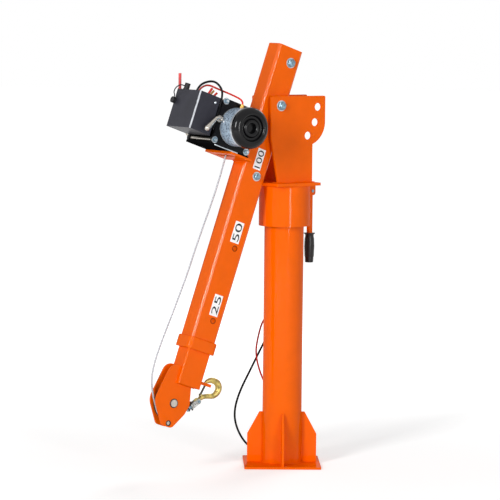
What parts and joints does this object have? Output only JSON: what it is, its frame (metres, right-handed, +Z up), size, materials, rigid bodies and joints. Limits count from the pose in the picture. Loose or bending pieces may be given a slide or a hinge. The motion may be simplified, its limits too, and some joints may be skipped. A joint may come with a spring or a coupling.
{
  "type": "pickup truck crane",
  "caption": "Orange pickup truck crane with a swivel post, a hanging telescopic boom, an electric winch and a hook on its pulley head",
  "frame": {"origin": "centre of the underside of the base plate, on the floor under the post", "axes": "+Z up along the post; +X and +Y square to the sides of the base plate; the boom hangs towards -X and a little -Y"},
  "size_m": [0.4745, 0.4142, 1.16],
  "materials": {
    "orange_paint": "gloss",
    "zinc_plate": "satin",
    "bright_rod": "gloss",
    "winch_black": "gloss",
    "motor_silver": "gloss",
    "gearbox_grey": "satin",
    "cap_gloss": "gloss",
    "box_plastic": "satin",
    "bush_plastic": "satin",
    "black_rubber": "satin",
    "red_rubber": "satin",
    "brass_post": "satin",
    "wire_rope": "satin",
    "gold_zinc": "satin",
    "latch_steel": "satin"
  },
  "bodies": {
    "base": {"base_plate": "orange_paint", "base_gussets": "orange_paint", "post_tube": "orange_paint", "post_cap": "orange_paint", "thrust_washer": "zinc_plate", "king_stud": "zinc_plate", "king_nut": "zinc_plate", "cable_grommet": "black_rubber", "lead_black": "black_rubber", "lead_red": "red_rubber", "lead_rings": "zinc_plate"},
    "head": {"head_sleeve": "orange_paint", "sleeve_bushes": "bush_plastic", "head_flange": "orange_paint", "fork_plate_near": "orange_paint", "fork_plate_far": "orange_paint", "pivot_bolt": "zinc_plate", "pivot_nut": "zinc_plate", "boom_rest": "orange_paint", "handle_bracket": "orange_paint", "handle_pin": "zinc_plate"},
    "handle": {"handle_bar": "orange_paint", "handle_grip": "black_rubber"},
    "outer_boom": {"outer_boom": "orange_paint", "boom_collar": "orange_paint", "pivot_tube": "orange_paint", "lock_bolt": "zinc_plate", "extension_bolts": "zinc_plate", "winch_bracket": "orange_paint", "winch_base": "winch_black", "winch_end_plates": "winch_black", "tie_rods": "bright_rod", "tie_bolts": "zinc_plate", "motor_body": "motor_silver", "motor_cap": "cap_gloss", "gearbox": "gearbox_grey", "control_box": "box_plastic", "box_lid": "box_plastic", "motor_terminal": "brass_post", "motor_lead_black": "black_rubber", "motor_lead_red": "red_rubber", "remote_socket": "box_plastic", "socket_cap": "box_plastic", "cap_strap": "black_rubber", "red_boot": "red_rubber"},
    "drum": {"drum": "winch_black", "rope_winding": "wire_rope"},
    "clutch_lever": {"clutch_lever": "bright_rod"},
    "inner_boom": {"inner_boom": "orange_paint", "pulley_cheeks": "orange_paint", "pulley_pins": "zinc_plate", "hook_lug": "orange_paint", "rope_run": "wire_rope", "rope_clamp": "zinc_plate", "clevis": "gold_zinc", "hook_pin": "zinc_plate"},
    "sheave": {"sheave": "bush_plastic"},
    "hook": {"hook": "gold_zinc"},
    "hook_latch": {"hook_latch": "latch_steel"}
  },
  "joints": [
    {"name": "head_swivel", "type": "hinge", "parent": "base", "child": "head", "pos_m": [0, 0, 0.776], "axis": [0, 0, 1], "continuous": true},
    {"name": "handle_fold", "type": "hinge", "parent": "head", "child": "handle", "pos_m": [0.07197, 0.04428, 0.753], "axis": [0.524, -0.8517, 0], "range_deg": [0, 90]},
    {"name": "boom_pivot", "type": "hinge", "parent": "head", "child": "outer_boom", "pos_m": [-0.03875, -0.02384, 0.9906], "axis": [-0.524, 0.8517, 0], "range_deg": [0, 113]},
    {"name": "boom_extension", "type": "slide", "parent": "outer_boom", "child": "inner_boom", "axis": [-0.2815, -0.1732, -0.9438], "range_m": [0, 0.41]},
    {"name": "sheave_spin", "type": "hinge", "parent": "inner_boom", "child": "sheave", "pos_m": [-0.30843, -0.18974, 0.19419], "axis": [-0.524, 0.8517, 0], "continuous": true},
    {"name": "drum_spin", "type": "hinge", "parent": "outer_boom", "child": "drum", "pos_m": [-0.17145, -0.10547, 0.93602], "axis": [-0.524, 0.8517, 0], "continuous": true},
    {"name": "clutch_turn", "type": "hinge", "parent": "outer_boom", "child": "clutch_lever", "pos_m": [-0.18236, -0.18968, 0.95897], "axis": [-0.524, 0.8517, 0], "range_deg": [0, 90]},
    {"name": "hook_swing", "type": "hinge", "parent": "inner_boom", "child": "hook", "pos_m": [-0.23543, -0.14484, 0.19204], "axis": [-0.524, 0.8517, 0], "range_deg": [0, 60]},
    {"name": "latch_open", "type": "hinge", "parent": "hook", "child": "hook_latch", "pos_m": [-0.22739, -0.13989, 0.20993], "axis": [-0.524, 0.8517, 0], "range_deg": [0, 30], "stiffness_Nm_per_rad": 0.02, "springref_deg": -17.19}
  ]
}
